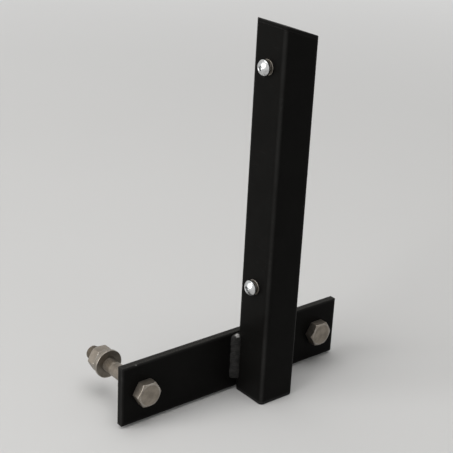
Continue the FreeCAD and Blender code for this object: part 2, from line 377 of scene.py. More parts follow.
def thread(surface, centre, axis, side, start, end, pitch, root, crest, shape):
    """Right-hand thread whose rows follow the helix.

    The row with phase p lies at first + pitch*(p + a/full turn) on the column at turn a, held
    between start and end. Its radius is the thread's profile at that phase, changed by shape, a
    function of the radius and the distance along the axis. One turn back, each row meets the row
    one pitch before.
    """
    steps = np.array([0.0, 0.25, 0.405, 0.5625, 0.6875, 0.845])
    cycles = int(math.ceil((end - start) / pitch)) + 2
    phase = (steps[None, :] + np.arange(cycles)[:, None]).ravel()
    first = math.floor(start / pitch) * pitch
    spread = np.append(-HEX_TURNS, -FULL_TURN)
    held = np.clip(first + pitch * (phase[None, :] + (spread / FULL_TURN)[:, None]), start, end)
    radius = shape(thread_radius(phase - 0.125, root, crest)[None, :], held)
    points = turned(np.stack([radius, held], axis=-1), spread, centre, axis, side)
    surface.grid(points, around=False, edge=0.35 * (radius > (root + crest) / 2), radial=radius)


def outer_thread(surface, seat, axis, side, start, tip, pitch, crest, run_out, point):
    """Thread from a shank to its tip.

    The profile's depth grows evenly over the run-out. A cone of 45 degrees narrows the tip to a
    flat, whose radius is the thread's root less point.
    """
    root = crest - THREAD_DEPTH * pitch
    flat = root - point

    def shape(radius, along):
        """Radius after the run-out and the cone."""
        depth = np.clip((along - start) / run_out, 0, 1)
        return np.minimum(crest + (radius - crest) * depth, flat + tip - along)

    thread(surface, seat, axis, side, start, tip, pitch, root, crest, shape)
    cap = columns((flat, tip), (0.6 * flat, tip), (0, tip))
    surface.grid(turned(cap, -HEX_TURNS, seat, axis, side), radial=cap[..., 0])


def inner_thread(surface, origin, axis, side, near, far, pitch, crest, mouth):
    """Threaded bore that keeps the helix of its bolt; countersinks of 45 degrees open its ends."""
    root = crest - THREAD_DEPTH * pitch

    def shape(radius, along):
        """Radius after the countersinks."""
        return np.maximum(radius, mouth - np.minimum(along - near, far - along))

    thread(surface, origin, axis, side, near, far, pitch, root, crest, shape)


# ---------------------------------------------------------------- places from the frame

def packed_box(solid):
    """Lowest corner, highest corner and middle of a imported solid's box, as arrays."""
    low, high = (np.array(corner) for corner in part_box(solid))
    return low, high, (low + high) / 2


def add_piece(surface, solid, slot, body="clamp"):
    """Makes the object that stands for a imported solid, named after it, with its finish."""
    name = solid.capitalize()
    piece = bpy.data.objects.new(name, surface.mesh(name))
    bpy.context.scene.collection.objects.link(piece)
    piece.data.materials.append(finish(slot))
    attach(piece, body)
    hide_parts(solid)


def post_measures():
    """Measures of the post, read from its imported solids: middle, half side, the net side's place,
    foot, top on the net side, thickness of the top plate, and slope."""
    low, high, middle = packed_box("post_tube")
    cap_low, cap_high = packed_box("post_top_plate")[:2]
    half = (high[0] - low[0]) / 2
    sheet = cap_high[2] - high[2]
    return SimpleNamespace(middle=middle, half=half, net_y=low[1], foot=low[2], top=cap_high[2],
                           sheet=sheet, slope=(cap_high[2] - cap_low[2] - sheet) / (2 * half))


def square_outline(middle, half, corner, window=None):
    """Closed outline of a square with rounded corners, seen from above, from the net side on.

    Each quarter is a straight run and an arc of the corner's radius, turned by a quarter turn
    for each side. A window gives the run evenly spaced columns across its middle, from its third
    point on. The second result is 1 halfway round each corner and falls to 0 at its ends; it marks
    the corners for wear and for a painted highlight along them.
    """
    flat = half - corner
    run = np.linspace(-flat, flat, 5)
    if window:
        aside = flat - 0.6 * (flat - window)
        run = np.r_[-flat, -aside, np.linspace(-window, window, CELLS + 1), aside, flat]
    arc = np.linspace(0, math.pi / 2, 9)[1:-1]
    quarter = np.stack([np.r_[run, flat + corner * np.sin(arc)],
                        np.r_[np.full(run.size, -half), -flat - corner * np.cos(arc)]], axis=-1)
    turns = np.arange(4) * math.pi / 2
    spin = np.stack([np.stack([np.cos(turns), -np.sin(turns)], -1),
                     np.stack([np.sin(turns), np.cos(turns)], -1)], axis=1)
    outline = np.einsum("kij,nj->kni", spin, quarter).reshape(-1, 2)
    # Band across each corner, narrowed towards mid-arc: it carries the corner's wear and its
    # painted highlight.
    wear_and_sheen_band = np.tile(np.r_[np.zeros(run.size), np.sin(2 * arc) ** 1.6], 4)
    return outline + middle[:2], wear_and_sheen_band


def raised(outline, z):
    """Outline points at given heights, one for the whole outline or one for each column."""
    return np.concatenate([outline, np.broadcast_to(z, outline.shape[0])[:, None]], axis=-1)


def hole_in_window(surface, ids, column, row, centre, radius, axis):
    """Faces from the rim of a square window in a grid to a round hole in its middle.

    Each point of the hole lies on the line from the hole's centre to its point of the rim.
    """
    block = ids[column:column + CELLS + 1, row:row + CELLS + 1]
    rim = np.concatenate([block[:-1, 0], block[-1, :-1], block[:0:-1, -1], block[0, :0:-1]])
    spots = np.concatenate(surface.points)[rim]
    away = spots - centre
    away = away - (away @ axis)[:, None] * axis
    hole = surface.add(spots - away + away / np.linalg.norm(away, axis=1)[:, None] * radius)
    surface.band(rim, hole)
    return hole


# ---------------------------------------------------------------- finishes

def wire(tree, made, inputs):
    """Links those inputs of a node that are given as sockets and sets the rest."""
    for key, value in inputs.items():
        if isinstance(value, bpy.types.NodeSocket):
            tree.links.new(value, made.inputs[key])
        else:
            made.inputs[key].default_value = value
    return made


def node(tree, kind, inputs=None, **settings):
    """Adds a shader node with its settings and inputs."""
    made = tree.nodes.new("ShaderNode" + kind)
    for key, value in settings.items():
        setattr(made, key, value)
    return wire(tree, made, inputs or {})


def maths(tree, operation, *terms, clamp=False):
    """A Math node over sockets and numbers."""
    return node(tree, "Math", dict(enumerate(terms)), operation=operation,
                use_clamp=clamp).outputs[0]


def times(tree, first, second):
    """Product of sockets and numbers."""
    return maths(tree, "MULTIPLY", first, second)


def ramp(tree, value, low, high, out_low=0.0, out_high=1.0):
    """Smooth step of a value from one range to another."""
    return node(tree, "MapRange", {0: value, 1: low, 2: high, 3: out_low, 4: out_high},
                interpolation_type="SMOOTHSTEP").outputs[0]


def noise(tree, where, scale, detail=2.0, roughness=0.5, distortion=0.0):
    """Noise value at a place."""
    return node(tree, "TexNoise", {"Vector": where, "Scale": scale, "Detail": detail,
                                   "Roughness": roughness, "Distortion": distortion}).outputs[0]


def blend_colour(tree, amount, first, second):
    """Mix of two colours by an amount."""
    first, second = (value if isinstance(value, bpy.types.NodeSocket) else (*value, 1.0)
                     for value in (first, second))
    return node(tree, "Mix", {0: amount, 6: first, 7: second}, data_type="RGBA").outputs[2]


def group(name, inputs, outputs):
    """An empty shader group: its tree, the sockets that come in and the node that they end in.

    An input whose default is None is a vector, and every other socket is a number.
    """
    tree = bpy.data.node_groups.new(name, "ShaderNodeTree")
    for label, default in inputs.items():
        kind = "NodeSocketVector" if default is None else "NodeSocketFloat"
        socket = tree.interface.new_socket(label, in_out="INPUT", socket_type=kind)
        if default is not None:
            socket.default_value = default
    for label in outputs:
        tree.interface.new_socket(label, in_out="OUTPUT", socket_type="NodeSocketFloat")
    return tree, tree.nodes.new("NodeGroupInput").outputs, tree.nodes.new("NodeGroupOutput")


def use(tree, name, **inputs):
    """Places a shared group in a material and returns its outputs."""
    made = tree.nodes.new("ShaderNodeGroup")
    made.node_tree = bpy.data.node_groups[name]
    return wire(tree, made, inputs).outputs


def build_groups():
    """The effects that several finishes share."""
    tree, source, end = group("Orange peel", {"Where": None, "Grain": 900.0}, ["Height", "Cloud"])
    where, grain = source["Where"], source["Grain"]
    fine = noise(tree, where, grain, detail=1.0, roughness=0.4)
    broad = noise(tree, where, times(tree, grain, 0.33), detail=1.0)
    wire(tree, end, {
        "Height": maths(tree, "ADD", times(tree, fine, 0.65), times(tree, broad, 0.35)),
        "Cloud": noise(tree, where, times(tree, grain, 0.045), detail=4.0, roughness=0.6)})

    inputs = {"Where": None, "Edge": 0.0, "Amount": 0.4, "Grain": 350.0}
    tree, source, end = group("Edge wear", inputs, ["Rubbed", "Bare"])
    where, grain = source["Where"], source["Grain"]
    speck = noise(tree, where, grain, detail=5.0, roughness=0.65)
    patch = noise(tree, where, times(tree, grain, 0.12), detail=3.0)
    level = maths(tree, "ADD", times(tree, source["Edge"], source["Amount"]),
                  maths(tree, "ADD", times(tree, speck, 0.6), times(tree, patch, 0.6)))
    wire(tree, end, {"Rubbed": ramp(tree, level, 0.72, 1.05),
                     "Bare": ramp(tree, level, 1.02, 1.10)})

    tree, source, end = group("Scratches", {"Where": None, "Grain": 120.0}, ["Lines"])
    lines = []
    for turn, stretch in ((0.5, 14.0), (2.1, 18.0)):
        spun = node(tree, "Mapping", {"Vector": source["Where"], "Scale": (1.0, stretch, stretch),
                                      "Rotation": (turn, turn * 0.7, turn)}).outputs[0]
        lines.append(ramp(tree, noise(tree, spun, source["Grain"]), 0.66, 0.74))
    wire(tree, end, {"Lines": maths(tree, "MAXIMUM", *lines)})

    tree, source, end = group("Settled dust", {"Where": None, "Amount": 0.3}, ["Dust"])
    normal = node(tree, "NewGeometry").outputs["Normal"]
    up = ramp(tree, node(tree, "SeparateXYZ", {0: normal}).outputs[2], 0.3, 1.0)
    flecks = noise(tree, source["Where"], 1300.0, detail=6.0, roughness=0.75)
    settled = times(tree, up, ramp(tree, flecks, 0.30, 0.80))
    wire(tree, end, {"Dust": maths(tree, "MULTIPLY", settled, source["Amount"], clamp=True)})

    tree, source, end = group("Turned marks", {"Radial": 0.0, "Grain": 9000.0}, ["Height"])
    rings = {"W": source["Radial"], "Scale": source["Grain"], "Detail": 3.0}
    wire(tree, end, {"Height": node(tree, "TexNoise", rings, noise_dimensions="1D").outputs[0]})


def new_finish(name):
    """An empty material with its Principled shader, Object coordinates and the edge value."""
    material = bpy.data.materials.new(name)
    material.use_nodes = True
    tree = material.node_tree
    shader = tree.nodes["Principled BSDF"]
    where = node(tree, "TexCoord").outputs["Object"]
    edge = node(tree, "Attribute", attribute_name="edge").outputs["Fac"]
    return material, tree, shader, where, edge


def bump(tree, height, depth):
    """Normal bent by a height in shares of a depth."""
    return node(tree, "Bump", {"Height": height, "Distance": depth, "Strength": 1.0}).outputs[0]


def coated(name, base, grain=1050.0, specular=0.03, chip=None, roughness=(0.34, 0.46),
           mottle=70.0, shade=0.85):
    """Powder coat: orange peel, mottled black, cloudy gloss, scuffs and chips along the edges, a
    painted highlight in a smooth lighter band along the rounded edges, a little dust."""
    material, tree, shader, where, edge = new_finish(name)
    colours = bpy.context.scene.clamp_colours
    peel = use(tree, "Orange peel", Where=where, Grain=grain)
    wear = use(tree, "Edge wear", Where=where, Edge=edge, Amount=colours.wear)
    lines = use(tree, "Scratches", Where=where, Grain=95.0)["Lines"]
    dust = use(tree, "Settled dust", Where=where, Amount=0.26)["Dust"]
    bare = wear["Bare"]
    if chip:
        centre, reach = chip
        away = node(tree, "VectorMath", {0: where, 1: centre}, operation="DISTANCE")
        ragged = times(tree, noise(tree, where, 900.0, detail=3.0), reach)
        spot = ramp(tree, maths(tree, "ADD", away.outputs["Value"], ragged), reach * 0.9,
                    reach * 1.3, 1.0, 0.0)
        bare = maths(tree, "MAXIMUM", bare, spot)
    # Painted highlight: a smooth lighter band along every edge the mesh marks, strongest on the
    # tube's rounded corners, standing in for the satin sheen there.
    painted_sheen = times(tree, edge, ramp(tree, peel["Cloud"], 0.2, 0.8, 0.35, 0.75))
    rubbed = maths(tree, "MAXIMUM", wear["Rubbed"], times(tree, lines, 0.14))
    # From here rubbed holds the rubbed wear and the painted highlight together; both lighten the
    # coat towards the scuff colour.
    rubbed = maths(tree, "MAXIMUM", rubbed, painted_sheen)
    patches = noise(tree, where, mottle, detail=3.0, roughness=0.6)
    tint = blend_colour(tree, ramp(tree, patches, 0.36, 0.64), tuple(shade * c for c in base), base)
    tint = blend_colour(tree, rubbed, tint, colours.coat_scuff_and_sheen)
    tint = blend_colour(tree, dust, tint, colours.coat_dust)
    tint = blend_colour(tree, bare, tint, colours.bare)
    gloss = ramp(tree, peel["Cloud"], 0.3, 0.7, *roughness)
    gloss = maths(tree, "ADD", gloss, times(tree, rubbed, 0.12), clamp=True)
    level = maths(tree, "SUBTRACT", peel["Height"], times(tree, bare, 2.0))
    level = maths(tree, "SUBTRACT", level, times(tree, lines, 0.4))
    wire(tree, shader, {"Base Color": tint, "Metallic": times(tree, bare, 0.95),
                        "Roughness": gloss, "Specular IOR Level": specular,
                        "Normal": bump(tree, level, depth=colours.peel)})
    return material


def plated(name, base, rough):
    """Zinc plate: dull and bright patches with fine spangle, rubbed edges and fine scratches."""
    material, tree, shader, where, edge = new_finish(name)
    cloud = noise(tree, where, 260.0, detail=5.0, roughness=0.62)
    spangle = node(tree, "TexVoronoi", {"Vector": where, "Scale": 1400.0}).outputs["Distance"]
    rubbed = use(tree, "Edge wear", Where=where, Edge=edge, Amount=0.32, Grain=420.0)["Rubbed"]
    lines = use(tree, "Scratches", Where=where, Grain=150.0)["Lines"]
    colours = bpy.context.scene.clamp_colours
    tint = blend_colour(tree, ramp(tree, cloud, 0.32, 0.68), colours.zinc_dark, base)
    tint = blend_colour(tree, times(tree, rubbed, 0.5), tint, colours.zinc_bright)
    gloss = ramp(tree, cloud, 0.3, 0.7, rough + 0.1, rough - 0.06)
    gloss = maths(tree, "SUBTRACT", gloss, times(tree, rubbed, 0.15), clamp=True)
    level = maths(tree, "SUBTRACT", times(tree, spangle, 0.5), lines)
    wire(tree, shader, {"Base Color": tint, "Metallic": 0.85, "Roughness": gloss,
                        "Normal": bump(tree, level, depth=0.006 * MM)})
    return material


def stainless(name, base):
    """Bright stainless steel: fine turned rings, faint handling marks and a cleaner rim."""
    material, tree, shader, where, edge = new_finish(name)
    radial = node(tree, "Attribute", attribute_name="radial").outputs["Fac"]
    rings = use(tree, "Turned marks", Radial=radial)["Height"]
    smear = noise(tree, where, 420.0, detail=4.0, roughness=0.6)
    lines = use(tree, "Scratches", Where=where, Grain=220.0)["Lines"]
    dull = bpy.context.scene.clamp_colours.stainless_dull
    tint = blend_colour(tree, ramp(tree, smear, 0.3, 0.7), dull, base)
    gloss = ramp(tree, smear, 0.3, 0.72, 0.30, 0.20)
    gloss = maths(tree, "SUBTRACT", gloss, times(tree, edge, 0.05))
    gloss = maths(tree, "ADD", gloss, times(tree, lines, 0.12), clamp=True)
    level = maths(tree, "SUBTRACT", rings, times(tree, lines, 0.6))
    wire(tree, shader, {"Base Color": tint, "Metallic": 1.0, "Roughness": gloss,
                        "Normal": bump(tree, level, depth=0.003 * MM)})
    return material


def moulded(name, base, rough, grain):
    """Moulded black plastic: a fine spark-eroded texture, flow clouds and paler rubbed edges."""
    material, tree, shader, where, edge = new_finish(name)
    spark = noise(tree, where, grain, detail=3.0, roughness=0.7)
    flow = noise(tree, where, 130.0, detail=3.0, distortion=1.2)
    rubbed = use(tree, "Edge wear", Where=where, Edge=edge, Amount=0.35, Grain=500.0)["Rubbed"]
    dust = use(tree, "Settled dust", Where=where, Amount=0.25)["Dust"]
    pale = tuple(min(1.0, 3.2 * c + 0.01) for c in base)
    tint = blend_colour(tree, times(tree, rubbed, 0.6), base, pale)
    tint = blend_colour(tree, dust, tint, bpy.context.scene.clamp_colours.plastic_dust)
    wire(tree, shader, {"Base Color": tint, "Specular IOR Level": 0.12,
                        "Roughness": ramp(tree, flow, 0.3, 0.7, rough - 0.06, rough + 0.08),
                        "Normal": bump(tree, spark, depth=0.010 * MM)})
    return material


def finish(slot):
    """The finish of a slot, made the first time it is asked for."""
    if "Edge wear" not in bpy.data.node_groups:
        build_groups()
    colours = bpy.context.scene.clamp_colours
    name, maker, base, values = {
        "black_powder_coat": ("Black powder coat", coated, colours.coat, {}),
        "coated_weld": ("Coated weld", coated, colours.weld, {
            "grain": 1400.0, "specular": 0.2, "chip": weld_chip(), "roughness": (0.30, 0.5),
            "mottle": 420.0, "shade": 0.35}),
        "zinc_plate": ("Dull zinc", plated, colours.zinc, {"rough": 0.38}),
        "spring_steel": ("Zinc spring steel", plated, colours.spring, {"rough": 0.42}),
        "bright_steel": ("Bright stainless", stainless, colours.stainless, {}),
        "black_plastic": ("Black plastic", moulded, colours.plastic,
                          {"rough": 0.52, "grain": 2600.0}),
        "black_spacer": ("Black nylon", moulded, colours.nylon, {"rough": 0.45, "grain": 1900.0}),
    }[slot]
    return bpy.data.materials.get(name) or maker(name, base, **values)


# ---------------------------------------------------------------- steelwork

def tube_surface(steel):
    """Square tube: its outline carried round a section up the outside, over the sloping rim and
    down the inside, with a round hole for each rivet nut in the net side."""
    post = post_measures()
    middle, half, net_y, foot = post.middle, post.half, post.net_y, post.foot
    window, first_column = 6 * MM, 2
    outer, wear_and_sheen_band = square_outline(middle, half, steel.corner, window)
    inner = square_outline(middle, half - steel.wall, steel.corner - steel.wall, window)[0]
    centres = np.array([packed_box("rivet_nut_" + level)[2][2] for level in reversed(LEVELS)])
    rows = (centres[:, None] + np.linspace(-window, window, CELLS + 1)).ravel()
    outer_top, inner_top = (post.top - post.sheet - (line[:, 1] - net_y) * post.slope
                            for line in (outer, inner))
    section = [raised(outer, foot)] + [raised(outer, z) for z in rows]
    section += [raised(outer, outer_top), raised(inner, inner_top)]
    section += [raised(inner, z) for z in rows[::-1]] + [raised(inner, foot)]
    cuts = [steel.rim] + [0] * rows.size + [steel.rim] * 2 + [0] * rows.size + [steel.rim]
    wear = [0.6] + [0.0] * (2 * rows.size + 3)
    points, edge = eased(np.stack(section, axis=1), cuts, True, wear)
    keep = np.ones(points.shape[:2], bool)
    windows = []
    for centre in centres:
        starts = []
        for wall in (net_y, net_y + steel.wall):
            on_wall = np.abs(points[3, :, 1] - wall) < SAME
            near = on_wall & (np.abs(points[3, :, 2] - centre) < window + SAME)
            start = int(np.flatnonzero(near)[0])
            keep[first_column:first_column + CELLS, start:start + CELLS] = False
            starts.append(start)
        windows.append((centre, starts))
    outside = np.abs(points - np.r_[middle[:2], 0])[..., :2].max(axis=-1) > half - steel.wall * 0.6
    # Outer rounded corners get a high edge value: real wear there plus a painted highlight down
    # each corner.
    edge = np.maximum(edge[None, :], 0.95 * wear_and_sheen_band[:, None] * outside)
    surface = Surface()
    ids = surface.grid(points, along=True, keep=keep, edge=edge)
    for centre, starts in windows:
        spot = np.array([middle[0], net_y, centre])
        holes = [hole_in_window(surface, ids, first_column, start, spot, steel.insert_hole, Y)
                 for start in starts]
        surface.band(holes[0], pair_up(surface, *holes))
    return surface


def pair_up(surface, first, second):
    """The second ring's vertex numbers in the order that puts each nearest its fellow."""
    points = np.concatenate(surface.points)
    a, b = points[first][:, ::2], points[second][:, ::2]
    return second[np.argmin(((a[:, None] - b[None]) ** 2).sum(-1), axis=1)]


def cap_surface(steel):
    """Sloping top plate: the outline between two sloping planes, closed across both faces."""
    post = post_measures()
    outline, wear_and_sheen_band = square_outline(post.middle, post.half, steel.corner)
    centre = np.broadcast_to(post.middle[:2], outline.shape)

    def on_plane(flat, level):
        """Places points on a sloping plane that is at a level on the net side."""
        return raised(flat, level - (flat[:, 1] - post.net_y) * post.slope)

    under = post.top - post.sheet
    section = [on_plane(centre, under), on_plane(outline, under), on_plane(outline, post.top),
               on_plane(centre, post.top)]
    cuts = [0, steel.rim, 2 * steel.rim, 0]
    points, edge = eased(np.stack(section, axis=1), cuts, wear=[0, 0.5, 1, 0])
    rim = np.abs(points[..., :2] - outline[:, None]).max(axis=-1) < 0.4 * MM
    # Rim corners get a raised edge value: wear plus a painted highlight along them.
    return one_grid(points, edge=np.maximum(edge[None, :], 0.5 * wear_and_sheen_band[:, None] * rim))


def bar_surface(steel):
    """Flat bar: a box whose surface points are drawn in to a rounding round a smaller box, with a
    round hole for each bolt. Point = nearest point of the smaller box + rounding * unit outward."""
    low, high, middle = packed_box("bracket_plate")
    half = (high - low) / 2
    cut, fade, window = steel.bar_edge, 1.2 * MM, 7 * MM
    arc = np.tan(np.linspace(0, math.pi / 4, 4)) * cut
    spread = np.linspace(-window, window, CELLS + 1)
    between = np.linspace(-40 * MM, 40 * MM, 5)
    bolts = [packed_box("table_bolt_" + side)[2][1] - middle[1] for side in SIDES]

    def lines(size, inside):
        """Grid lines along one side of the box, close together in its rounding."""
        edge = size - cut + arc
        faded = size - cut - min(fade, (size - cut) / 2)
        return np.r_[-edge[::-1], -faded, inside, faded, edge]

    across = [lines(half[0], []),
              lines(half[1], np.r_[bolts[0] + spread, between, bolts[1] + spread]),
              lines(half[2], spread)]
    row = np.abs(across[2] - spread[0]).argmin()
    starts = [np.abs(across[1] - bolt - spread[0]).argmin() for bolt in bolts]
    surface, holes = Surface(), []
    for axis, sign in product(range(3), (-1, 1)):
        first, second = (axis + 1) % 3, (axis + 2) % 3
        a, b = np.meshgrid(across[first], across[second], indexing="ij")
        box = np.empty(a.shape + (3,))
        box[..., axis], box[..., first], box[..., second] = sign * half[axis], a, b
        core = np.clip(box, cut - half, half - cut)
        away = box - core
        points = middle + core + cut * away / np.linalg.norm(away, axis=-1, keepdims=True)
        depth = np.clip((np.abs(box) - (half - cut - fade)) / fade, 0, 1)
        windows = starts if axis == 0 else []
        keep = np.ones(a.shape, bool)
        for start in windows:
            keep[start:start + CELLS, row:row + CELLS] = False
        ids = surface.grid(points, around=False, keep=keep, edge=np.sort(depth, axis=-1)[..., 1])
        holes += [hole_in_window(surface, ids, start, row, middle + [sign * half[0], bolt, 0],
                                 steel.bolt_hole, X) for bolt, start in zip(bolts, windows)]
    for back, front in zip(holes[:2], holes[2:]):
        surface.band(front, back)
    return surface


def weld_chip():
    """Where the coat is knocked off the top of the net-side bead, and how wide."""
    low, high = packed_box("weld_bead_net_side")[:2]
    net_y = packed_box("post_tube")[0][1]
    return (low[0] + 1.6 * MM, net_y - 1.4 * MM, high[2] - 0.7 * MM), 1.9 * MM


def weld_surface(steel, side):
    """Fillet bead in the corner between the plate and the tube.

    Across, the face runs from the plate's toe to the tube's toe with a crown of 4u(1-u) times the
    bulge. Up the bead, half a cosine of the height makes the ripples; each lags towards the toes
    by the square of the distance from the middle, which gives crescents. The ends close like a
    quarter ellipse, and slow waves of two lengths vary the reach.
    """
    post = post_measures()
    bead_low, bead_high = packed_box("weld_bead_net_side")[:2]
    front, low, high = bead_low[0], bead_low[2], bead_high[2]
    end_run, widest_lag, sink = 1.7 * MM, 1.5 * MM, 0.05 * MM
    rise = np.r_[np.linspace(0, 1, 9)[:-1] ** 2 * 0.1, np.linspace(0.1, 0.9, 150),
                 1 - np.linspace(1, 0, 9)[1:] ** 2 * 0.1]
    z = (low + (high - low) * rise)[:, None]
    u = np.linspace(0, 1, 23)[None, :]
    crown = 4 * u * (1 - u)
    from_end = np.minimum(z - low, high - z) / end_run
    swell = np.sqrt(np.clip(1 - np.clip(1 - from_end, 0, 1) ** 2, 0.10, 1))
    wave = 0.04 * np.sin(z * 700) + 0.02 * np.sin(z * 1900 + 1.0) - 0.05
    reach = swell * (1 + wave)
    plate_toe = steel.plate_leg * reach
    tube_toe = steel.tube_leg * reach * (1 - 0.5 * wave)
    beat = (z + widest_lag * (2 * u - 1) ** 2) / steel.ripple_pitch
    ripple = 0.5 - 0.5 * np.cos(FULL_TURN * beat + 0.7 * np.sin(z * 830))
    ripple = ripple * steel.ripple_height * (1 + 0.4 * np.sin(z * 1300))
    bulge = crown * swell * steel.crown + crown ** 0.4 * swell * ripple
    leg = math.hypot(steel.plate_leg, steel.tube_leg)
    x = front - sink + u * (tube_toe + sink) + steel.plate_leg / leg * bulge
    y = post.net_y + sink - (1 - u) * (plate_toe + sink) - steel.tube_leg / leg * bulge
    face = np.stack([x, y, z + 0 * u], axis=-1)
    turn = np.linspace(0, math.pi / 2, 6)
    corner = steel.corner + sink
    hollow = np.stack(np.broadcast_arrays(front + steel.corner - corner * np.sin(turn),
                                          post.net_y + steel.corner - corner * np.cos(turn), z), -1)
    loop = np.concatenate([face, hollow], axis=1)
    loop = close_ends(loop, face.mean(axis=1, keepdims=True))
    loop[0, :, 2], loop[-1, :, 2] = low, high
    if side == "far_side":
        loop[..., 1] = 2 * post.middle[1] - loop[..., 1]
    crest = np.minimum(ripple / steel.ripple_height, 1) * crown
    crest = np.concatenate([crest, 0 * hollow[..., 0]], axis=1)
    crest = np.concatenate([crest[:1], crest, crest[-1:]])
    return one_grid(loop, around=False, along=True, edge=0.4 * crest)


# ---------------------------------------------------------------- fasteners

def bolt_surface(fasteners, side):
    """Hexagon-head bolt: head and shank turned from one path, then the thread and its tip. The
    thread runs out before its stated length begins."""
    low, high, middle = packed_box("table_bolt_" + side)
    seat = np.array([high[0] - fasteners.head, *middle[1:]])
    radius, tip, run_out = fasteners.bolt_radius, seat[0] - low[0], 1.5 * fasteners.bolt_pitch
    start = tip - fasteners.bolt_thread - run_out
    seat_edge, fillet = 0.15 * MM, 0.25 * MM
    head = hexagon_corners(fasteners.flats, fasteners.head, fasteners, False)[:, ::-1]
    path, edge = eased(np.concatenate([head, columns((radius, 0), (radius, -start))], axis=1),
                       [0, FACE_EDGE, HEX_EDGE, seat_edge, fillet, 0], wear=[0, 1, 1, 1, 0, 0])
    surface = one_grid(turned(path, HEX_TURNS, seat, X, Y), edge=edge, radial=path[..., 0])
    outer_thread(surface, seat, -X, Y, start, tip, fasteners.bolt_pitch, radius, run_out,
                 point=0.25 * MM)
    return surface


def nut_surface(fasteners, side):
    """Hexagon nut: chamfered outside, and a threaded bore a hair wider than the bolt."""
    low, high, middle = packed_box("table_nut_" + side)
    seat = packed_box("table_bolt_" + side)[1][0] - fasteners.head
    origin = np.array([seat, *middle[1:]])
    near, far = seat - high[0], seat - low[0]
    hair, countersink = 0.08 * MM, 0.3 * MM
    mouth = fasteners.bolt_radius + countersink
    outside = hexagon_corners(fasteners.flats, far - near, fasteners, True)[:, :-1]
    corners = np.concatenate([columns((mouth, 0)), outside, columns((mouth, far - near))], axis=1)
    path, edge = eased(corners, [0, FACE_EDGE, HEX_EDGE, HEX_EDGE, FACE_EDGE, 0])
    path = path + np.array([0, near])
    surface = one_grid(turned(path, -HEX_TURNS, origin, -X, Y), edge=edge, radial=path[..., 0])
    inner_thread(surface, origin, -X, Y, near, far, fasteners.bolt_pitch,
                 fasteners.bolt_radius + hair, mouth)
    return surface


def ring_section(bore, radius, deep):
    """(radius, distance) corners of a ring's section."""
    return [(bore, 0), (radius, 0), (radius, deep), (bore, deep)]


def ring_surface(solid, bore, cut, fade=0.5 * MM):
    """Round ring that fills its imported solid's box, its four edges rounded."""
    low, high, middle = packed_box(solid)
    section = ring_section(bore, (high[2] - low[2]) / 2, high[0] - low[0])
    surface = Surface()
    lathe(surface, section, [0.4 * cut, cut, cut, 0.4 * cut], ROUND_TURNS,
          np.array([low[0], *middle[1:]]), X, Y, fade=fade, wear=[0.3, 1, 1, 0.3])
    return surface


def split_surface(fasteners, side):
    """Spring washer: a rounded square section carried round the axis from one slanting face of
    its gap to the other. The turn at which a point of the section starts is
    (half the gap + its distance from the middle plane * tan(slant)) / its radius."""
    low, high, middle = packed_box("spring_washer_" + side)
    deep, bore = high[0] - low[0], fasteners.bolt_radius + 0.1 * MM
    section = np.array([ring_section(bore, (high[1] - low[1]) / 2, deep)])
    path, edge = eased(section, [0.2 * MM] * 4, closed=True, fade=0.3 * MM)
    radius, along = path[0].T
    lean = (along - deep / 2) * math.tan(fasteners.slant)
    first = (fasteners.split / 2 + lean) / radius
    last = FULL_TURN + (lean - fasteners.split / 2) / radius
    turns = first + (last - first) * np.linspace(0, 1, 73)[:, None]
    spoke = np.cos(turns)[..., None] * Z + np.sin(turns)[..., None] * np.cross(-X, Z)
    start = np.array([high[0], middle[1], packed_box("flat_washer_" + side)[2][2]])
    points = start - along[:, None] * X + radius[:, None] * spoke
    points = close_ends(points, points.mean(axis=1, keepdims=True))
    return one_grid(points, around=False, along=True, edge=edge)


def round_head_path(fasteners, radius, neck):
    """(radius, distance) corners of a round head with its socket and neck, for each column.

    The dome is an arc of the circle through the rim's top and the socket's mouth whose middle
    lies on the axis.
    """
    socket = hexagon_radius(fasteners.socket, 0.02 * MM)
    mouth = fasteners.socket / math.sqrt(3) + 0.12 * MM
    rise = fasteners.screw_head - fasteners.screw_rim
    ball_middle = (radius ** 2 - mouth ** 2 - rise ** 2) / (2 * rise)
    ball = math.hypot(radius, ball_middle)
    turn = np.linspace(math.asin(mouth / ball), math.asin(radius / ball), 14)
    dome = zip(ball * np.sin(turn), fasteners.screw_rim + ball * np.cos(turn) - ball_middle)
    floor, drill_point = fasteners.screw_head - fasteners.socket_depth, 0.3 * MM
    cuts = [0, 0.1 * MM, 0.06 * MM, 0.1 * MM] + [0] * 12 + [0.12 * MM, 0.15 * MM, 0.2 * MM, 0]
    return columns((0, floor - drill_point), (socket, floor),
                   (socket, fasteners.screw_head - 0.12 * MM), *dome, (radius, 0),
                   (fasteners.screw_radius, 0), (fasteners.screw_radius, -neck)), cuts


def screw_surface(fasteners, level):
    """Round-head socket screw: head and short neck turned from one path, then the thread."""
    low, high, middle = packed_box("net_screw_" + level)
    seat = np.array([middle[0], low[1] + fasteners.screw_head, middle[2]])
    tip, neck = high[1] - seat[1], 1.5 * MM
    corners, cuts = round_head_path(fasteners, (high[0] - low[0]) / 2, neck)
    path, edge = eased(corners, cuts, wear=[0, 0, 1, 1] + [0] * 12 + [1, 1, 0, 0], fade=0.3 * MM)
    surface = one_grid(turned(path, HEX_TURNS, seat, -Y, X), edge=edge, radial=path[..., 0])
    outer_thread(surface, seat, Y, X, neck, tip, fasteners.screw_pitch, fasteners.screw_radius,
                 fasteners.screw_pitch, point=0.15 * MM)
    return surface


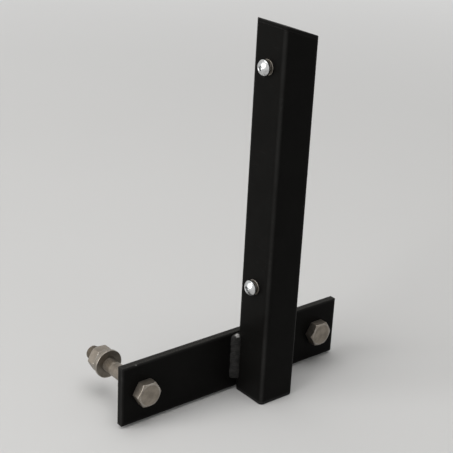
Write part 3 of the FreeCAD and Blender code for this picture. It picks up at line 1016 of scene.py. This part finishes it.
def insert_surface(fasteners, steel, level):
    """Rivet nut: thin flange, straight barrel, a collar rolled out behind the wall by the 0.6th
    power of half a sine, and a threaded bore a hair wider than the screw."""
    low, high, middle = packed_box("rivet_nut_" + level)
    seat = packed_box("net_screw_" + level)[0][1] + fasteners.screw_head
    origin = np.array([middle[0], seat, middle[2]])
    near, far = low[1] - seat, high[1] - seat
    flange, flange_radius, rolled_length = 0.5 * MM, 4.0 * MM, 2.4 * MM
    hair, countersink = 0.05 * MM, 0.2 * MM
    barrel, rolled = steel.insert_hole - hair, (high[0] - low[0]) / 2
    mouth, under = fasteners.screw_radius + countersink, near + flange
    swell = np.linspace(0, 1, 9)
    collar = zip(barrel + (rolled - barrel) * np.sin(math.pi * swell) ** 0.6,
                 under + steel.wall + rolled_length * swell)
    corners = [(mouth, near), (flange_radius, near), (flange_radius, under), (barrel, under),
               *collar, (barrel, far), (mouth, far)]
    cuts = [0, 0.15 * MM, 0.15 * MM, 0] + [0] * swell.size + [0.2 * MM, 0]
    surface = Surface()
    lathe(surface, corners, cuts, -HEX_TURNS, origin, Y, X, closed=False, fade=0.3 * MM)
    inner_thread(surface, origin, Y, X, near, far, fasteners.screw_pitch,
                 fasteners.screw_radius + hair, mouth)
    return surface


# ---------------------------------------------------------------- plastics

def plug_surface(plastics, steel):
    """Foot plug: one section carried round the square outline, from the middle of its underside
    out to the lip, up over the ribs, down the hollow to the middle of its floor."""
    low, high, middle = packed_box("foot_plug")
    half = (high[0] - low[0]) / 2
    seat, top = low[2] + plastics.lip, high[2]
    bore, hair, tightest = half - steel.wall, 0.05 * MM, 0.7 * MM
    body, grip = bore - plastics.body_gap, bore - hair
    pitch = (top - seat) / plastics.ribs
    levels = [(half, low[2]), (half, seat), (body, seat)]
    for rib in seat + (np.arange(plastics.ribs) + 0.5) * pitch:
        levels += [(body, rib - plastics.rib / 2), (grip, rib), (grip, rib + plastics.rib / 2),
                   (body, rib + plastics.rib / 2)]
    levels += [(body, top), (body - plastics.wall, top), (body - plastics.wall, seat)]
    cuts = [plastics.crown, 0.2 * MM, 0.15 * MM] + [0.1 * MM] * (4 * plastics.ribs) + [0.3 * MM] * 3
    wear = [1, 0.6, 0] + [0, 0.5, 0.5, 0] * plastics.ribs + [0.4, 0.4, 0]
    outlines = [raised(square_outline(middle, size, max(steel.corner - (half - size), tightest))[0],
                       z) for size, z in levels]
    centre = np.broadcast_to(middle[:2], outlines[0][:, :2].shape)
    section = [raised(centre, low[2])] + outlines + [raised(centre, seat)]
    points, edge = eased(np.stack(section, axis=1), [0] + cuts + [0], wear=[0] + wear + [0])
    return one_grid(points, edge=edge)


# ---------------------------------------------------------------- operators

class CLAMP_OT_post(bpy.types.Operator):
    """Makes the post's tube and its sloping top plate"""
    bl_idname = "clamp.post"
    bl_label = "Post"

    def execute(self, context):
        """Tube and top plate, both powder coated."""
        steel = context.scene.clamp_steelwork
        add_piece(tube_surface(steel), "post_tube", "black_powder_coat")
        add_piece(cap_surface(steel), "post_top_plate", "black_powder_coat")
        return {"FINISHED"}


class CLAMP_OT_bracket(bpy.types.Operator):
    """Makes the flat bar that carries the post"""
    bl_idname = "clamp.bracket"
    bl_label = "Bracket plate"

    def execute(self, context):
        """The bar with its bolt holes."""
        bar = bar_surface(context.scene.clamp_steelwork)
        add_piece(bar, "bracket_plate", "black_powder_coat")
        return {"FINISHED"}


class CLAMP_OT_welds(bpy.types.Operator):
    """Makes the weld beads between the post and the plate"""
    bl_idname = "clamp.welds"
    bl_label = "Weld beads"

    def execute(self, context):
        """One bead in each corner."""
        for side in ("net_side", "far_side"):
            bead = weld_surface(context.scene.clamp_steelwork, side)
            add_piece(bead, "weld_bead_" + side, "coated_weld")
        return {"FINISHED"}


class CLAMP_OT_bolts(bpy.types.Operator):
    """Makes the table bolts with their washers and nuts"""
    bl_idname = "clamp.bolts"
    bl_label = "Table bolts"

    def execute(self, context):
        """Each side's bolt, flat washer, spring washer and nut, on the bodies that carry them."""
        sizes = context.scene.clamp_fasteners
        for side in SIDES:
            add_piece(bolt_surface(sizes, side), "table_bolt_" + side, "zinc_plate")
            add_piece(nut_surface(sizes, side), "table_nut_" + side, "zinc_plate", "nut_" + side)
            washer = ring_surface("flat_washer_" + side, sizes.bolt_radius + 0.2 * MM, 0.22 * MM)
            add_piece(washer, "flat_washer_" + side, "zinc_plate", "washers_" + side)
            add_piece(split_surface(sizes, side), "spring_washer_" + side, "spring_steel",
                      "washers_" + side)
        return {"FINISHED"}


class CLAMP_OT_net_screws(bpy.types.Operator):
    """Makes the net screws and the rivet nuts behind them"""
    bl_idname = "clamp.net_screws"
    bl_label = "Net screws"

    def execute(self, context):
        """Each level's screw and rivet nut."""
        sizes, steel = context.scene.clamp_fasteners, context.scene.clamp_steelwork
        for level in LEVELS:
            add_piece(screw_surface(sizes, level), "net_screw_" + level, "bright_steel")
            add_piece(insert_surface(sizes, steel, level), "rivet_nut_" + level, "zinc_plate")
        return {"FINISHED"}


class CLAMP_OT_plastics(bpy.types.Operator):
    """Makes the foot plug and the spacers"""
    bl_idname = "clamp.plastics"
    bl_label = "Plug and spacers"

    def execute(self, context):
        """The plug in the post's foot and a spacer behind each bolt."""
        steel = context.scene.clamp_steelwork
        add_piece(plug_surface(context.scene.clamp_plastics, steel), "foot_plug", "black_plastic")
        for side in SIDES:
            spacer = ring_surface("spacer_" + side, steel.bolt_hole, 0.5 * MM, fade=0.8 * MM)
            add_piece(spacer, "spacer_" + side, "black_spacer")
        return {"FINISHED"}


class CLAMP_OT_stage(bpy.types.Operator):
    """Makes the floor, the lamps and the camera"""
    bl_idname = "clamp.stage"
    bl_label = "Floor, lamps and camera"

    def execute(self, context):
        """Everything round the object."""
        scene = context.scene
        stage = scene.clamp_stage
        make_floor(scene, stage)
        make_world(scene, stage)
        make_lamp(scene, "Key lamp", stage.key, (-0.2, -2.2, 1.05), 2.2)
        make_lamp(scene, "Top lamp", stage.top, (-0.1, 0.1, 2.6), 2.4)
        make_lamp(scene, "Fill lamp", stage.fill, (1.7, 0.9, 1.2), 1.8)
        make_camera(scene, stage)
        return {"FINISHED"}


def make_floor(scene, stage):
    """Level round floor at the clamp's lowest point, which fades into its surroundings.

    Points lie at (radius*cos turn, radius*sin turn); the fade is a smooth step of the radius.
    """
    turns = np.linspace(0, FULL_TURN, 96, endpoint=False)[:, None]
    radius = np.array([0.0, 0.5, 1.0, 2.0, 4.0, 8.0])
    points = np.stack([np.cos(turns) * radius, np.sin(turns) * radius,
                       cad_box[0][2] + 0 * turns * radius], axis=-1)
    mesh = one_grid(points).mesh("Floor")
    if mesh.polygons[0].normal.z < 0:
        mesh.flip_normals()
    floor = bpy.data.objects.new("Floor", mesh)
    scene.collection.objects.link(floor)
    material = bpy.data.materials.new("Pale floor")
    material.use_nodes = True
    tree = material.node_tree
    shader, output = tree.nodes["Principled BSDF"], tree.nodes["Material Output"]
    where = node(tree, "TexCoord").outputs["Object"]
    cloud = ramp(tree, noise(tree, where, 3.0, detail=3.0), 0.3, 0.7)
    base = np.array(stage.floor)
    wire(tree, shader, {"Base Color": blend_colour(tree, cloud, tuple(base * 0.985), tuple(base)),
                        "Roughness": 0.8, "Specular IOR Level": 0.2})
    away = node(tree, "VectorMath", {0: where}, operation="LENGTH").outputs["Value"]
    far = maths(tree, "MULTIPLY", ramp(tree, away, 0.35, 1.6), rays_seen(tree))
    glow = node(tree, "Emission", {"Color": (*stage.sky, 1.0)}).outputs[0]
    faded = node(tree, "MixShader", {0: far, 1: shader.outputs[0], 2: glow}).outputs[0]
    clear = node(tree, "BsdfTransparent").outputs[0]
    behind = node(tree, "NewGeometry").outputs["Backfacing"]
    mixed = node(tree, "MixShader", {0: behind, 1: faded, 2: clear}).outputs[0]
    tree.links.new(mixed, output.inputs["Surface"])
    mesh.materials.append(material)


def rays_seen(tree):
    """One for the camera's rays and for those sent on by gloss or glass, and otherwise nought."""
    rays = node(tree, "LightPath").outputs
    seen = maths(tree, "MAXIMUM", rays["Is Camera Ray"], rays["Is Glossy Ray"])
    return maths(tree, "MAXIMUM", seen, rays["Is Transmission Ray"])


def make_world(scene, stage):
    """Plain light from all round; what the camera and shiny surfaces see of it is paler."""
    world = bpy.data.worlds.new("Plain light")
    scene.world = world
    world.use_nodes = True
    tree = world.node_tree
    background = wire(tree, tree.nodes["Background"], {"Color": (*stage.sky, 1.0)})
    strength = node(tree, "MapRange", {0: rays_seen(tree), 1: 0.0, 2: 1.0, 3: stage.ambient,
                                       4: 1.0}).outputs[0]
    tree.links.new(strength, background.inputs["Strength"])


def place_rig(scene, name, data, place, axes):
    """Links a lamp or a camera at its place, its own three axes along the given ones."""
    rig = bpy.data.objects.new(name, data)
    scene.collection.objects.link(rig)
    turn = Matrix(np.stack(axes, axis=1).tolist())
    rig.matrix_world = Matrix.Translation(place) @ turn.to_4x4()
    return rig


def make_lamp(scene, name, watts, place, size):
    """Soft square lamp that faces the middle of the clamp."""
    lamp = bpy.data.lights.new(name, "AREA")
    lamp.energy, lamp.size = watts, size
    back = np.array(place) - (np.array(cad_box[0]) + np.array(cad_box[1])) / 2
    back = back / np.linalg.norm(back)
    right = np.cross(Z, back) / np.linalg.norm(np.cross(Z, back))
    place_rig(scene, name, lamp, place, (right, np.cross(back, right), back))


def make_camera(scene, stage):
    """Camera at its place: heading and dip turn the view, roll tilts its right side up."""
    data = bpy.data.cameras.new("Camera")
    data.sensor_width, data.lens = 36.0, stage.lens
    data.clip_start, data.clip_end = 0.01, 50.0
    level = math.cos(stage.dip)
    ahead = np.array([-math.sin(stage.heading) * level, math.cos(stage.heading) * level,
                      -math.sin(stage.dip)])
    right = np.cross(ahead, Z)
    right = right / np.linalg.norm(right)
    up = np.cross(right, ahead)
    tilt, lean = math.cos(stage.roll), math.sin(stage.roll)
    axes = (tilt * right + lean * up, tilt * up - lean * right, -ahead)
    scene.camera = place_rig(scene, "Camera", data, stage.place, axes)
    scene.view_settings.view_transform = "Standard"


class VIEW3D_PT_clamp(bpy.types.Panel):
    """Lists the clamp's pieces and their sizes in the sidebar"""
    bl_label = "Net clamp"
    bl_space_type = "VIEW_3D"
    bl_region_type = "UI"
    bl_category = "Net clamp"

    def draw(self, context):
        """A button for each operator, then each group of sizes."""
        for operator in OPERATORS:
            self.layout.operator(operator.bl_idname)
        for name, kind in GROUPS.items():
            box = self.layout.box()
            box.label(text=name.replace("clamp_", "").capitalize())
            settings = getattr(context.scene, name)
            for key in kind.__annotations__:
                box.prop(settings, key)


OPERATORS = (CLAMP_OT_post, CLAMP_OT_bracket, CLAMP_OT_welds, CLAMP_OT_bolts, CLAMP_OT_net_screws,
             CLAMP_OT_plastics, CLAMP_OT_stage)
GROUPS = {"clamp_steelwork": ClampSteelwork, "clamp_fasteners": ClampFasteners,
          "clamp_plastics": ClampPlastics, "clamp_colours": ClampColours, "clamp_stage": ClampStage}


def register():
    """Registers the classes and hangs the settings on the scene."""
    for kind in (*GROUPS.values(), *OPERATORS, VIEW3D_PT_clamp):
        bpy.utils.register_class(kind)
    for name, kind in GROUPS.items():
        setattr(bpy.types.Scene, name, PointerProperty(type=kind))


def unregister():
    """Takes the settings and the classes away."""
    for name in GROUPS:
        delattr(bpy.types.Scene, name)
    for kind in reversed((*GROUPS.values(), *OPERATORS, VIEW3D_PT_clamp)):
        bpy.utils.unregister_class(kind)


def main():
    """Builds every piece and the stage."""
    register()
    for operator in OPERATORS:
        group_name, call = operator.bl_idname.split(".")
        getattr(getattr(bpy.ops, group_name), call)()


if __name__ == "__main__":
    main()
